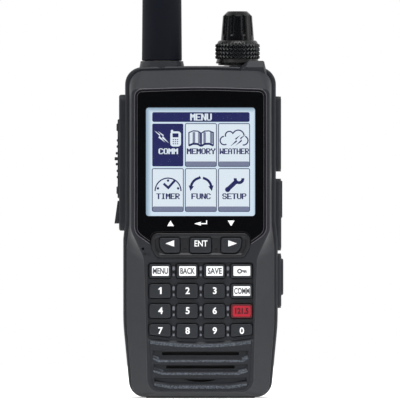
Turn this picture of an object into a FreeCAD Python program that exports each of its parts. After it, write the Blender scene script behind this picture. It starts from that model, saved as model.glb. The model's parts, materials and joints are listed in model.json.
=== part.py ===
"""Handheld aviation radio: a moulded two-part case with a colour-backed display, a rubber keypad, a round
antenna and a concentric control on top, rubber-covered sockets on one side, the talk switch on the other,
and a battery with a belt clip on the back.

Frame, in millimetres: +Z up, the front faces -Y, +X is to the right as the user reads the display.
The origin is on the surface that the radio stands on, under the middle of the case.
"""
import FreeCAD
import Part
import os
from math import acos, cos, pi, radians, sin, sqrt, tan

# ---------------------------------------------------------------- driving dimensions
Z_BOTTOM = 0.35         # underside of the case, above the flat that it stands on
Z_TOP = 134.3           # apex of the lines along the top, just above the rounded top itself
CHASSIS_HALF_W = 30.4   # at the display
GRIP_HALF_W = 31.15     # at the keypad
Y_FACE = -17.0          # front face
Y_SLOPE = -9.5          # where the front's slopes end
Y_PART = -6.0           # front case meets rear chassis
Y_BAY = 5.0             # chassis wall behind the battery
Y_BACK = 17.5           # back of the battery and upper chassis
Z_BAY = 97.0            # top of the battery bay
WALL = 1.8
FRONT_WALL = 2.6
Y_INNER = Y_FACE + FRONT_WALL

SLIP = 0.3              # gap round a moving key or button
SNUG = 0.1              # gap round a part that is fitted once

# keypad
KEY_W = 8.6
KEY_H = 5.6
KEY_PITCH_X = 10.9
KEY_PITCH_Z = 8.03
KEY_TOP_ROW_Z = 51.2
KEY_X0 = -16.25
KEY_CORNER = 0.9
KEY_LIP = 0.5           # how far a key's retaining lip stands out behind the wall
Y_KEY_TOP = -17.3
Y_KEY_BED = -15.8
BED_ARC_R = 140.0       # the keypad's lower edge is an arc
BED_ARC_LOW = 24.2

# soft keys under the display
SOFT_Z = 61.6
SOFT_H = 6.0
Y_SOFT_TOP = -17.9
Y_BEZEL_TOP = -17.7

# boards and display
Y_BOARD = -11.2
BOARD_T = 1.6
SCREEN_Z = 95.1
SCREEN = 43.8

# controls on top
CONTROL_Y = 3.2
CONTROL_X = 14.95
GUARD_FRONT = -9.3      # the raised shoulder beside the dial starts here
GUARD_LEAN = 2.3        # depth over which its front leans back
DECK_Z = 133.95         # nuts stand on the case at this height
ANTENNA_X = -15.6
DIAL_R = 9.05
ANTENNA_R = 8.1
ANTENNA_LOW = 136.05    # foot of the antenna, just above its collar
ANTENNA_TOP = 300.0
THREAD_R = 3.1

# side pieces
SIDE_MID_Y = -0.4       # sockets and side keys are centred here
PTT_PLUNGER_Z = 96.1
MONITOR_PLUNGER_Z = 75.0
SUPPLY_Z = 47.0
SIDE_Y0 = -5.2
SIDE_Y1 = 4.4
SIDE_FLOOR = 29.8       # bottom of the shallow pockets in the chassis sides
HINGE_X = 31.2
HINGE_Y = 3.6
HINGE_R = 1.3

# battery and clip
Y_PACK = Y_BAY + 0.2
Z_PACK = Z_BAY - 0.4
PACK_WALL = 1.5
CONTACT_X = (-8.0, 0.0, 8.0)
CONTACT_Z = 90.0
CLIP_PIN_Y = 21.6
CLIP_PIN_Z = 88.0
CLIP_HALF_W = 8.2

CASE_SCREWS = [(-22.5, 9.5), (22.5, 9.5), (-25.8, 91.0), (25.8, 91.0)]
FOOT_HALF_W = 21.9      # the flat that the radio stands on
FOOT_Y = (-5.4, 13.0)


# ---------------------------------------------------------------- shape helpers
def vec(x, y, z):
    return FreeCAD.Vector(x, y, z)


def box(x0, x1, y0, y1, z0, z1):
    return Part.makeBox(x1 - x0, y1 - y0, z1 - z0, vec(x0, y0, z0))


def rod_x(x0, x1, y, z, r):
    return Part.makeCylinder(r, x1 - x0, vec(x0, y, z), vec(1, 0, 0))


def rod_y(y0, y1, x, z, r):
    return Part.makeCylinder(r, y1 - y0, vec(x, y0, z), vec(0, 1, 0))


def rod_z(z0, z1, x, y, r):
    return Part.makeCylinder(r, z1 - z0, vec(x, y, z0), vec(0, 0, 1))


def hex_z(z0, z1, x, y, across_flats):
    """Hexagonal prism along Z."""
    r = across_flats / sqrt(3)
    points = [vec(x + r * cos(i * pi / 3), y + r * sin(i * pi / 3), z0) for i in range(7)]
    return Part.Face(Part.makePolygon(points)).extrude(vec(0, 0, z1 - z0))


def fuse(shapes):
    whole = shapes[0]
    for s in shapes[1:]:
        whole = whole.fuse(s)
    return whole.removeSplitter()


def cut(shape, tools):
    for t in tools:
        shape = shape.cut(t)
    return shape


def lathe(profile, x, y):
    """Turns a closed (radius, z) profile about the vertical through (x, y)."""
    points = [vec(x + r, y, z) for r, z in profile]
    face = Part.Face(Part.makePolygon(points + points[:1]))
    return face.revolve(vec(x, y, 0), vec(0, 0, 1), 360)


def mirrored(half, top=None):
    """Outline corners (x, z, radius), clockwise from the front: a right half from the top, and its mirror."""
    left = [(-x, z, r) for x, z, r in reversed(half)]
    return ([top] if top else []) + half + left


def rectangle(x, z, w, h, r):
    """Outline of a rounded rectangle about (x, z)."""
    right, left, high, low = x + w / 2, x - w / 2, z + h / 2, z - h / 2
    return [(right, high, r), (right, low, r), (left, low, r), (left, high, r)]


def grown(corners, d):
    """The outline moved outward by d, or inward where d is negative."""
    n = len(corners)
    result = []
    for i, (x, z, r) in enumerate(corners):
        before, after = corners[i - 1], corners[(i + 1) % n]
        u = vec(x - before[0], 0, z - before[1]).normalize()
        v = vec(after[0] - x, 0, after[1] - z).normalize()
        out_u, out_v = vec(-u.z, 0, u.x), vec(-v.z, 0, v.x)
        move = (out_u + out_v) * (d / (1 + out_u.dot(out_v)))
        convex = u.x * v.z - u.z * v.x < 0
        result.append((x + move.x, z + move.z, max(0.15, r + d if convex else r - d)))
    return result


def outline(corners, y):
    """Wire at depth y of straight sides joined by tangent arcs."""
    n = len(corners)
    arcs = []
    for i, (x, z, r) in enumerate(corners):
        p = vec(x, y, z)
        a = (vec(corners[i - 1][0], y, corners[i - 1][1]) - p).normalize()
        b = (vec(corners[(i + 1) % n][0], y, corners[(i + 1) % n][1]) - p).normalize()
        half = acos(a.dot(b)) / 2
        reach = r / tan(half)
        middle = p + (a + b).normalize() * (r / sin(half) - r)
        arcs.append((p + a * reach, middle, p + b * reach))
    edges = []
    for i, (start, middle, end) in enumerate(arcs):
        edges.append(Part.Arc(start, middle, end).toShape())
        following = arcs[(i + 1) % n][0]
        if (following - end).Length > 1e-4:
            edges.append(Part.LineSegment(end, following).toShape())
    return Part.Wire(edges)


def plate(corners, y0, y1):
    """Flat plate of that outline, from y0 to y1."""
    return Part.Face(outline(corners, y0)).extrude(vec(0, y1 - y0, 0))


def tapered(*levels):
    """Solid through outlines of equal corner counts, given as (corners, y)."""
    wires = [outline(corners, y) for corners, y in levels]
    return Part.makeLoft(wires, True, True)


def side_plate(corners, x0, x1):
    """Flat plate standing on a side face: corners are (y, z, radius) and the plate runs from x0 to x1."""
    turned = plate([(-y, z, r) for y, z, r in reversed(corners)], x0, x1)
    turned.rotate(vec(0, 0, 0), vec(0, 0, 1), -90)
    return turned


def rounded(shape, radius, axis, value):
    """Fillets the edges that lie wholly in the plane axis = value."""
    low, high = axis + "Min", axis + "Max"
    found = [
        e for e in shape.Edges
        if abs(getattr(e.BoundBox, low) - value) < 1e-3 and abs(getattr(e.BoundBox, high) - value) < 1e-3
    ]
    return shape.makeFillet(radius, found)


# ---------------------------------------------------------------- outlines, as seen from the front
# Corners run from the top right down to the bottom right; mirrored() adds the left side.
FACE = mirrored(
    [(27.9, 124.7, 2.6), (28.0, 67.5, 6), (22.9, 56.3, 10), (22.1, 30, 60), (21.4, 2.5, 5)], (0, 125.7, 600))
SLOPE_END = mirrored(
    [(28.6, 131.5, 6.2), (28.7, 69.5, 6), (29.7, 60, 10), (29.7, 30, 60), (27.3, 0.8, 5.4)], (0, 132.3, 600))
SHELL_END = mirrored(
    [(28.7, 131.8, 6.4), (28.8, 70, 6), (29.8, 61, 10), (29.8, 30, 60), (27.4, 0.6, 5.6)], (0, 132.6, 600))
CHASSIS = mirrored(
    [(CHASSIS_HALF_W, 133.1, 7), (CHASSIS_HALF_W, 71.5, 8), (GRIP_HALF_W, 64, 8), (GRIP_HALF_W, 30, 80),
     (28.3, Z_BOTTOM, 6.5)], (0, Z_TOP, 600))
FACE_INSIDE = mirrored(
    [(26.3, 123.2, 1.5), (26.4, 68.4, 6), (21.9, 56.8, 10), (21.5, 30, 60), (20.3, 4.3, 4)], (0, 124.2, 600))
SHELL_INSIDE = grown(SHELL_END, -WALL)
WINDOW = mirrored([(25.6, 123.4, 2.2), (25.6, 66.9, 4.2), (18.5, 61.8, 1.0)], (0, 124.3, 600))
BEZEL = mirrored([(19.8, 66.5, 2.8), (19.8, 60.8, 3.0), (17.7, 56.6, 2.8)])
PANEL = mirrored([(21.3, 54.9, 1.6), (21.2, 30, 60), (19.7, 3.1, 4.6)])


def key_name_grid():
    """Names of the sixteen keys, by row from the top."""
    return [
        ["key_menu", "key_back", "key_save", "key_lock"],
        ["key_1", "key_2", "key_3", "key_comm"],
        ["key_4", "key_5", "key_6", "key_emergency"],
        ["key_7", "key_8", "key_9", "key_0"],
    ]


def keypad_places():
    """(name, x, z) of each key's centre."""
    places = []
    for row, names in enumerate(key_name_grid()):
        for column, name in enumerate(names):
            places.append((name, KEY_X0 + column * KEY_PITCH_X, KEY_TOP_ROW_Z - row * KEY_PITCH_Z))
    return places


def soft_key_outlines():
    """Name and outline of the three keys in the bezel."""
    low, high = SOFT_Z - SOFT_H / 2, SOFT_Z + SOFT_H / 2
    right = [(16.6, high, 0.9), (16.2, low + 2.2, 1.6), (14.5, low, 1.6), (8.3, low, 0.9), (8.3, high, 0.9)]
    left = [(-x, z, r) for x, z, r in reversed(right)]
    middle = rectangle(0, SOFT_Z, KEY_W, SOFT_H, KEY_CORNER)
    return [("key_left", left), ("key_enter", middle), ("key_right", right)]


def arc_z(x):
    """Height of the keypad's lower arc at x."""
    return BED_ARC_LOW + BED_ARC_R - sqrt(BED_ARC_R ** 2 - x ** 2)


def key_outline(name, x, z):
    """Outline of a keypad key; the bottom row's lower edges follow the arc."""
    corners = rectangle(x, z, KEY_W, KEY_H, KEY_CORNER)
    if name in key_name_grid()[3]:
        corners[1] = (x + KEY_W / 2, arc_z(x + KEY_W / 2), KEY_CORNER)
        corners[2] = (x - KEY_W / 2, arc_z(x - KEY_W / 2), KEY_CORNER)
    return corners


def all_key_outlines():
    return [(name, key_outline(name, x, z)) for name, x, z in keypad_places()] + soft_key_outlines()


def bed_disc(r_extra):
    """Disc whose lower edge is the keypad's arc, moved down by r_extra."""
    return rod_y(-20, -10, 0, BED_ARC_LOW + BED_ARC_R, BED_ARC_R + r_extra)


# ---------------------------------------------------------------- case
def guard():
    """Raised shoulder beside the dial, which keeps it from being knocked."""
    low, edge, high = 129.6, 133.3, 135.9
    front = [(18.2, edge, 0.6), (25.4, edge, 0.6), (26.4, low, 0.4), (15.4, low, 0.4), (16.4, 132.6, 0.8)]
    full = [(19.3, high, 1.6), (25.6, high, 0.8), (27.0, low, 0.4), (14.6, low, 0.4), (16.0, 133.4, 1.0)]
    leaning = tapered((front, GUARD_FRONT), (full, GUARD_FRONT + GUARD_LEAN))
    block = leaning.fuse(plate(full, GUARD_FRONT + GUARD_LEAN, 9.5))
    corners = [vec(0, 10, Z_TOP), vec(0, 10, 137), vec(0, 6.5, 137)]
    rear = Part.Face(Part.makePolygon(corners + corners[:1])).extrude(vec(40, 0, 0))
    return cut(block, [rear, rod_z(133.7, 140, CONTROL_X, CONTROL_Y, DIAL_R + 0.45)])


def grille_pockets():
    """Three louvre pockets; the lower wall of each slopes up and out."""
    pockets = []
    for high, low, flat in ((19.5, 15.2, 17.2), (13.9, 10.1, 15.4), (8.6, 5.1, 12.6)):
        wide = 19.3 - (19.5 - high) * 0.06
        outer = [(wide, high, 0.3), (wide, low + 0.7, 0.3), (flat, low, 0.6)]
        inner = [(wide - 0.2, high - 0.1, 0.3), (wide - 0.2, low + 2.5, 0.3), (flat - 0.6, low + 1.3, 0.6)]
        pockets.append(tapered((mirrored(outer), Y_FACE), (mirrored(inner), -15.25)))
    return pockets


def grille_slots():
    """Sound openings: two long slots and one like a lens."""
    long_slots = [(18.1, 31.0, 1.3), (12.7, 27.6, 1.2)]
    slots = [plate(rectangle(0, z, w, h, 0.5), Y_FACE, -14) for z, w, h in long_slots]
    lens = rod_y(Y_FACE, -14, 0, 31.4, 24.7).common(box(-7, 7, Y_FACE, -14, 6.2, 7.7))
    return slots + [lens]


def key_bed():
    """Recess round the keys, ending in the arc, with an outward-sloping wall along it."""
    upper = PANEL[:1] + [(21.2, 19.0, 1.0), (-21.2, 19.0, 1.0)] + PANEL[-1:]
    room = plate(upper, Y_FACE - 0.2, Y_KEY_BED)
    centre = vec(0, Y_FACE - 0.2, BED_ARC_LOW + BED_ARC_R)
    slope = Part.makeCone(BED_ARC_R + 3.3, BED_ARC_R + 1.4, 1.4, centre, vec(0, 1, 0))
    return room.common(bed_disc(1.4)).fuse(room.common(slope))


def nibs():
    """Small raised dots in the gaps between the key columns, a taller and a lower one by each key."""
    root = Y_KEY_BED + 0.3
    dots = []
    for row in range(4):
        z = KEY_TOP_ROW_Z - row * KEY_PITCH_Z
        for gap in range(3):
            x = KEY_X0 + (gap + 0.5) * KEY_PITCH_X
            dots.append(plate(rectangle(x, z + 1.1, 1.1, 1.7, 0.4), -16.8, root))
            dots.append(plate(rectangle(x, z - 1.5, 0.9, 1.2, 0.4), -16.4, root))
    return dots


def front_case():
    outer = tapered((grown(FACE, -0.5), Y_FACE), (grown(FACE, -0.15), Y_FACE + 0.15), (FACE, Y_FACE + 0.5),
                    (SLOPE_END, Y_SLOPE), (SHELL_END, Y_PART))
    inside = tapered((FACE_INSIDE, Y_INNER), (grown(SLOPE_END, -WALL), Y_SLOPE), (SHELL_INSIDE, Y_PART + 0.1))
    shell = outer.cut(inside)
    shell = cut(shell, [
        plate(grown(WINDOW, 0.25), Y_FACE - 1, -15.7),
        tapered((grown(WINDOW, 1.25), Y_FACE - 0.3), (grown(WINDOW, 0.2), Y_FACE + 0.75)),
        plate(rectangle(0, SCREEN_Z, SCREEN + 2.6, SCREEN + 2.6, 1.5), Y_FACE, Y_INNER + 1),
        plate(grown(BEZEL, SNUG), Y_FACE - 1, -15.4),
        plate(PANEL, Y_FACE - 1, -16.5),
        key_bed(),
        rod_y(-18, -13, -23.1, 60.2, 0.55),
    ])
    shell = cut(shell, grille_pockets() + grille_slots())
    for name, corners in all_key_outlines():
        shell = shell.cut(plate(grown(corners, SLIP), Y_FACE, -13))
    shell = shell.multiFuse(nibs())
    bosses = [rod_y(-14.8, Y_PART, x, z, 2.4).common(outer) for x, z in CASE_SCREWS]
    body = cut(shell.multiFuse(bosses), [rod_y(-10.5, Y_PART + 1, x, z, 1.3) for x, z in CASE_SCREWS])
    top = guard().common(box(0, 40, -20, Y_PART, 120, 140)).cut(inside)
    return body.fuse(top).removeSplitter()


def chassis_cavity():
    """Room inside the chassis: a front opening, the full width behind it, and the deep part above the bay."""
    deep = plate(grown(CHASSIS, -WALL), -4.2, Y_BACK - WALL).common(box(-40, 40, -10, 20, Z_BAY + WALL, 140))
    wide = plate(grown(CHASSIS, -WALL), -4.2, Y_BAY - WALL)
    mouth = plate(SHELL_INSIDE, Y_PART - 1, -4.1)
    return mouth.fuse([wide, deep])


def rear_body():
    """Outer shape of chassis and battery together."""
    block = plate(CHASSIS, Y_PART, Y_BACK)
    block = rounded(block, 4.4, "Y", Y_BACK)
    return rounded(block, 0.9, "Y", Y_PART)


def gasket_ring(y0, y1, extra):
    outer = plate(grown(SHELL_INSIDE, 1.3 + extra), y0, y1)
    return outer.cut(plate(grown(SHELL_INSIDE, 0.5 - extra), y0 - 1, y1 + 1))


def side_outline(z0, z1, r, margin=0.0):
    """Outline (y, z, radius) of a piece on the side of the case."""
    y0, y1 = SIDE_Y0 - margin, SIDE_Y1 + margin
    return [(y1, z1 + margin, r), (y1, z0 - margin, r), (y0, z0 - margin, r), (y0, z1 + margin, r)]


COVERS = {"headset_cover": (91.3, 121.6), "data_cover": (59.4, 88.4), "dc_cover": (36.2, 58.2)}
KEY_FRAME = (67.4, 122.3)


def rear_chassis():
    shell = rear_body().cut(box(-40, 40, Y_BAY, 30, -5, Z_BAY))
    shell = shell.cut(chassis_cavity())
    collar_profile = [(3.3, 132.0), (9.1, 132.0), (9.1, 133.3), (8.6, 135.9), (5.8, 135.9), (5.8, DECK_Z),
                      (3.3, DECK_Z)]
    collar = lathe(collar_profile, ANTENNA_X, CONTROL_Y)
    cover = guard().common(box(0, 40, Y_PART, 20, 120, 140)).cut(chassis_cavity())
    shell = shell.multiFuse([collar, cover])
    shell = shell.fuse(box(-FOOT_HALF_W, FOOT_HALF_W, FOOT_Y[0], Y_BAY, 0, 1.0))
    holes = [
        rod_z(130, 135, ANTENNA_X, CONTROL_Y, THREAD_R + 0.2),
        rod_z(130, 135, CONTROL_X, CONTROL_Y, 3.55),
        gasket_ring(Y_PART - 1, -5.2, SNUG / 2),
    ]
    for x, z in CASE_SCREWS:
        holes.append(rod_y(-10, 10, x, z, 1.4))
        holes.append(rod_y(Y_BAY - 1.0, 10, x, z, 2.6))
    for z0, z1 in COVERS.values():
        holes.append(side_plate(side_outline(z0, z1, 2.0, 0.25), SIDE_FLOOR, 40))
        inner = HINGE_X - HINGE_R - 0.25
        holes.append(box(inner, 40, HINGE_Y, HINGE_Y + HINGE_R + 0.3, z0 - 0.25, z1 + 0.25))
    holes.append(side_plate(side_outline(*KEY_FRAME, 3.0, 0.1), -40, -SIDE_FLOOR))
    for z in (PTT_PLUNGER_Z, MONITOR_PLUNGER_Z):
        holes.append(rod_x(-32, -26, SIDE_MID_Y, z, 1.6))
    headset = [(3.0, 115.2, 1.5), (3.0, 97.8, 1.5), (-4.0, 97.8, 1.5), (-4.0, 115.2, 1.5)]
    holes.append(side_plate(headset, 26, 32))
    holes.append(rod_x(26, 32, SIDE_MID_Y, SUPPLY_Z, 3.4))
    holes.append(box(26, 32, -5.0, 4.2, 77.4, 82.6))
    for x in CONTACT_X:
        holes.append(rod_y(2, 8, x, CONTACT_Z, 1.2))
    return cut(shell, holes).removeSplitter()


def case_gasket():
    return gasket_ring(Y_PART + 0.02, -5.22, 0)


def case_screws():
    """Four identical pan-head screws that hold the case halves together."""
    screws = []
    for x, z in CASE_SCREWS:
        head = rod_y(Y_BAY - 0.95, Y_BAY - 0.1, x, z, 2.3)
        drive = fuse([box(x - 1.4, x + 1.4, Y_BAY - 0.6, Y_BAY + 1, z - 0.25, z + 0.25),
                      box(x - 0.25, x + 0.25, Y_BAY - 0.6, Y_BAY + 1, z - 1.4, z + 1.4)])
        screws.append(head.fuse(rod_y(-10.0, Y_BAY - 0.95, x, z, 1.22)).cut(drive))
    return Part.makeCompound(screws)


def display_window():
    """Black-bordered glass, notched where the soft-key bezel overlaps it."""
    glass = plate(WINDOW, -16.9, -15.75)
    glass = rounded(glass, 0.35, "Y", -16.9)
    return glass.cut(plate(grown(BEZEL, 0.3), -20, -10))


def softkey_bezel():
    """Raised D-shaped frame with a shallow floor round the three keys."""
    frame = rounded(plate(BEZEL, Y_BEZEL_TOP, -15.45), 0.5, "Y", Y_BEZEL_TOP)
    floor = tapered((grown(BEZEL, -0.9), Y_BEZEL_TOP - 0.2), (grown(BEZEL, -1.9), -17.1))
    frame = frame.cut(floor)
    for name, corners in soft_key_outlines():
        frame = frame.cut(plate(grown(corners, SLIP), -20, -10))
    return cut(frame, [rod_y(-18, -16.7, side * 6.3, 60.2, 0.45) for side in (-1, 1)])


# ---------------------------------------------------------------- keys
def span(corners):
    """Middle (x, z), width and height of an outline."""
    xs, zs = [c[0] for c in corners], [c[1] for c in corners]
    return (min(xs) + max(xs)) / 2, (min(zs) + max(zs)) / 2, max(xs) - min(xs), max(zs) - min(zs)


def key_with_lip(corners, y_top):
    """Key cap with rounded top edges, a lip that holds it behind the wall, and a plunger."""
    cap = rounded(plate(corners, y_top, Y_INNER + 0.1), 0.4, "Y", y_top)
    x, z, w, h = span(corners)
    lip = plate(rectangle(x, z, w + 2 * KEY_LIP, h + 2 * KEY_LIP, 0.9), Y_INNER + 0.1, Y_INNER + 0.8)
    plunger = rod_y(Y_INNER + 0.8, Y_INNER + 2.0, x, z, 1.5)
    return fuse([cap, lip, plunger])


def key_shapes():
    """Every key by name."""
    soft = [name for name, corners in soft_key_outlines()]
    return {name: key_with_lip(corners, Y_SOFT_TOP if name in soft else Y_KEY_TOP)
            for name, corners in all_key_outlines()}


def plunger_places():
    return [span(corners)[:2] for name, corners in all_key_outlines()]


def keypad_mat():
    """Silicone sheet under the keys, with a hole for each plunger."""
    sheet = plate(rectangle(0, 43.6, 42.6, 43.6, 1.5), -12.85, -12.3)
    return cut(sheet, [rod_y(-14, -10, x, z, 1.9) for x, z in plunger_places()])


def key_domes():
    """Metal snap domes on the board, one under each key."""
    domes = []
    radius, rise = 3.4, 0.4
    for x, z in plunger_places():
        base = rod_y(Y_BOARD - 0.1, Y_BOARD - 0.01, x, z, 2.1)
        cap = Part.makeSphere(radius * 1.67, vec(x, Y_BOARD - 0.05 - rise + radius * 1.67, z))
        domes.append(base.fuse(cap.common(rod_y(Y_BOARD - 0.6, Y_BOARD - 0.05, x, z, 2.1))))
    return Part.makeCompound(domes)


def main_board():
    """Main circuit board with its shielding cans and the larger components."""
    board = plate(rectangle(0, 73.4, 43.0, 100.8, 1.5), Y_BOARD, Y_BOARD + BOARD_T)
    back = Y_BOARD + BOARD_T
    cans = [
        plate(rectangle(0, 100, 36, 30, 1.0), back, -5.0),
        plate(rectangle(-6, 62, 26, 28, 1.0), back, -6.0),
        plate(rectangle(12, 36, 14, 14, 0.6), back, -7.6),
    ]
    return fuse([board] + cans)


def lcd_panel():
    return plate(rectangle(0, SCREEN_Z, 46.4, 47.6, 1.0), Y_INNER + 0.15, -11.3)


def speaker():
    """Slim racetrack speaker: frame, cone and magnet."""
    z, w, h = 13.4, 38.0, 16.6
    frame = plate(rectangle(0, z, w, h, 8.2), -14.1, -10.4)
    frame = frame.cut(plate(rectangle(0, z, w - 3, h - 3, 6.7), -15, -11.2))
    outside = tapered((rectangle(0, z, w - 3.4, h - 3.4, 6.5), -13.2), (rectangle(0, z, 14, 6, 2.8), -11.6))
    hollow = tapered((rectangle(0, z, w - 4.2, h - 4.2, 6.0), -13.4), (rectangle(0, z, 13, 5, 2.3), -11.95))
    cone = outside.cut(hollow)
    magnet = rod_y(-10.4, -7.4, 0, z, 6.5)
    return Part.makeCompound([frame.fuse(magnet), cone])


def speaker_mesh():
    return plate(rectangle(0, 13.2, 37.0, 15.6, 7.5), Y_INNER + 0.05, Y_INNER + 0.2)


def microphone():
    """Capsule behind the small hole beside the soft keys."""
    return rod_y(-12.6, -11.0, -22.95, 60.2, 1.45)


# ---------------------------------------------------------------- controls on top
def control_body():
    """Stacked rotary control: housing with a threaded bushing."""
    housing = box(CONTROL_X - 6.2, CONTROL_X + 6.2, CONTROL_Y - 6.2, CONTROL_Y + 6.2, 120.0, 130.6)
    bushing = rod_z(130.6, 136.2, CONTROL_X, CONTROL_Y, 3.45)
    return fuse([housing, bushing]).cut(rod_z(119, 137, CONTROL_X, CONTROL_Y, 3.08))


def panel_nuts():
    """Hexagonal nuts under the dial and on the antenna socket."""
    nuts = []
    for x, flats, bore in ((CONTROL_X, 9.4, 3.5), (ANTENNA_X, 8.4, THREAD_R + 0.05)):
        nut = hex_z(DECK_Z + 0.05, 135.6, x, CONTROL_Y, flats)
        nuts.append(nut.cut(rod_z(130, 137, x, CONTROL_Y, bore)))
    return Part.makeCompound(nuts)


def dial_ring():
    """Channel dial: ridged ring with a skirt, on the outer of the two shafts."""
    tube = [(1.66, 124.0), (3.0, 124.0), (3.0, 136.8), (6.6, 136.8)]
    skirt = [(6.6, 134.2), (7.8, 134.2), (7.8, 134.9), (8.75, 135.0), (8.3, 136.5)]
    ridges, z0, pitch = 4, 136.65, 1.58
    teeth = []
    for i in range(ridges):
        teeth += [(8.35, z0 + i * pitch), (DIAL_R, z0 + (i + 0.5) * pitch)]
    crown = [(8.35, z0 + ridges * pitch), (7.7, 144.0), (7.2, 144.3), (7.0, 144.3)]
    crown += [(7.0, 143.4), (1.66, 143.4)]
    return lathe(tube + skirt + teeth + crown, CONTROL_X, CONTROL_Y)


def volume_knob():
    """Fluted, tapered knob for volume and power."""
    side = [(6.65, 143.65), (6.65, 145.0), (5.9, 154.1), (4.7, 155.3), (3.9, 156.0)]
    body = lathe([(0, side[0][1])] + side + [(0, side[-1][1])], CONTROL_X, CONTROL_Y)
    lean = 0.75 / 9.1
    flutes = 9
    for i in range(flutes):
        angle = radians(-69 + 360 / flutes * i)
        out = vec(cos(angle), sin(angle), 0)
        foot = vec(CONTROL_X, CONTROL_Y, 147.0) + out * 7.15
        up = (vec(0, 0, 1) - out * lean).normalize()
        body = body.cut(Part.makeCylinder(1.25, 12, foot, up).fuse(Part.makeSphere(1.25, foot)))
    return body.cut(rod_z(140, 152.4, CONTROL_X, CONTROL_Y, 1.62))


def volume_shaft():
    shaft = rod_z(121.0, 152.2, CONTROL_X, CONTROL_Y, 1.6)
    return shaft.cut(box(CONTROL_X + 1.1, CONTROL_X + 3, CONTROL_Y - 3, CONTROL_Y + 3, 145.4, 153))


def antenna_whip():
    """Rubber-covered antenna: thick base, long taper, round tip."""
    low, bore, bore_top = ANTENNA_LOW, 5.05, 147.2
    r_mid, r_tip = 7.75, 4.6
    shoulder, tip = 182.0, ANTENNA_TOP - r_tip
    foot = [vec(bore, 0, low), vec(ANTENNA_R - 0.25, 0, low), vec(ANTENNA_R, 0, low + 0.4)]
    right = foot + [vec(r_mid, 0, shoulder), vec(r_tip, 0, tip)]
    lines = [Part.LineSegment(a, b).toShape() for a, b in zip(right, right[1:])]
    diagonal = r_tip * cos(pi / 4)
    end = Part.Arc(vec(r_tip, 0, tip), vec(diagonal, 0, tip + diagonal), vec(0, 0, ANTENNA_TOP))
    inside = [vec(0, 0, ANTENNA_TOP), vec(0, 0, bore_top), vec(bore, 0, bore_top), vec(bore, 0, low)]
    close = [Part.LineSegment(a, b).toShape() for a, b in zip(inside, inside[1:])]
    whip = Part.Face(Part.Wire(lines + [end.toShape()] + close)).revolve(vec(0, 0, 0), vec(0, 0, 1), 360)
    whip.translate(vec(ANTENNA_X, CONTROL_Y, 0))
    return whip


def antenna_plug():
    """Coupler inside the antenna's foot, with its centre pin."""
    tube = rod_z(ANTENNA_LOW + 0.3, 147.15, ANTENNA_X, CONTROL_Y, 5.0)
    tube = tube.cut(rod_z(135, 143.4, ANTENNA_X, CONTROL_Y, THREAD_R + 0.1))
    return tube.fuse(rod_z(137.6, 143.5, ANTENNA_X, CONTROL_Y, 0.46))


def antenna_jack():
    """Threaded coaxial socket in the top of the case."""
    barrel = rod_z(126.0, 142.6, ANTENNA_X, CONTROL_Y, THREAD_R)
    barrel = barrel.cut(rod_z(135.0, 143, ANTENNA_X, CONTROL_Y, 2.05))
    return fuse([barrel, rod_z(129.2, 131.3, ANTENNA_X, CONTROL_Y, 5.4)])


# ---------------------------------------------------------------- talk switch side
PTT_Z = (80.5, 112.4)
MONITOR_Z = (70.3, 79.5)
BUTTON_Y = (-3.6, 2.8)


def button_outline(ends, grow, r):
    """Outline (y, z, radius) of a side button between two heights, grown on every side."""
    y0, y1 = BUTTON_Y[0] - grow, BUTTON_Y[1] + grow
    z0, z1 = ends[0] - grow, ends[1] + grow
    return [(y1, z1, r), (y1, z0, r), (y0, z0, r), (y0, z1, r)]


def side_key_frame():
    """Rubber surround of the talk switch and the monitor key."""
    frame = side_plate(side_outline(*KEY_FRAME, 3.0), -32.85, -SIDE_FLOOR - 0.05)
    frame = rounded(frame, 0.8, "X", -32.85)
    for ends in (PTT_Z, MONITOR_Z):
        frame = frame.cut(side_plate(button_outline(ends, SLIP, 1.6), -40, -20))
    rooms = []
    for ends, low, high in ((PTT_Z, 79.95, 115), (MONITOR_Z, 70.0, 79.85)):
        room = side_plate(button_outline(ends, 1.0, 1.6), -31.6, -20)
        rooms.append(room.common(box(-40, -20, -20, 20, low, high)))
    return cut(frame, rooms)


def ptt_button():
    """Long talk key with raised ridges and a plunger."""
    pad = rounded(side_plate(button_outline(PTT_Z, 0, 1.4), -33.45, -30.9), 0.5, "X", -33.45)
    lip = side_plate(button_outline(PTT_Z, 0.45, 1.4), -31.5, -30.9)
    middle = (PTT_Z[0] + PTT_Z[1]) / 2
    half = [(2.2, 1.0, 0.75), (4.9, 1.0, 0.4), (7.4, 1.0, 0.35), (12.7, 3.0, 0.45)]
    ribs = []
    other_half = [(-step, length, stand) for step, length, stand in half]
    for step, length, stand in [(0, 1.3, 1.2)] + half + other_half:
        low, high = middle + step - length / 2, middle + step + length / 2
        corners = [(1.9, high, 0.4), (1.9, low, 0.4), (-2.7, low, 0.4), (-2.7, high, 0.4)]
        ribs.append(rounded(side_plate(corners, -33.45 - stand, -33.0), 0.25, "X", -33.45 - stand))
    plunger = rod_x(-31.0, -27.2, SIDE_MID_Y, PTT_PLUNGER_Z, 1.3)
    return fuse([pad, lip, plunger] + ribs)


def monitor_key():
    """Wedge-shaped key below the talk switch."""
    pad = side_plate(button_outline(MONITOR_Z, 0, 1.2), -34.7, -30.9)
    z0, z1 = MONITOR_Z
    corners = [(-33.3, z1 + 1), (-40, z1 + 1), (-40, z0 - 1), (-34.85, z0 - 1), (-34.6, z0 + 0.7)]
    points = [vec(x, 0, z) for x, z in corners]
    wedge = Part.Face(Part.makePolygon(points + points[:1])).extrude(vec(0, 20, 0))
    wedge.translate(vec(0, -10, 0))
    lip = side_plate(button_outline((z0 + 0.45, z1), 0.3, 1.2), -31.5, -30.9)
    return fuse([pad.cut(wedge), lip, rod_x(-31.0, -27.2, SIDE_MID_Y, MONITOR_PLUNGER_Z, 1.3)])


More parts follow.
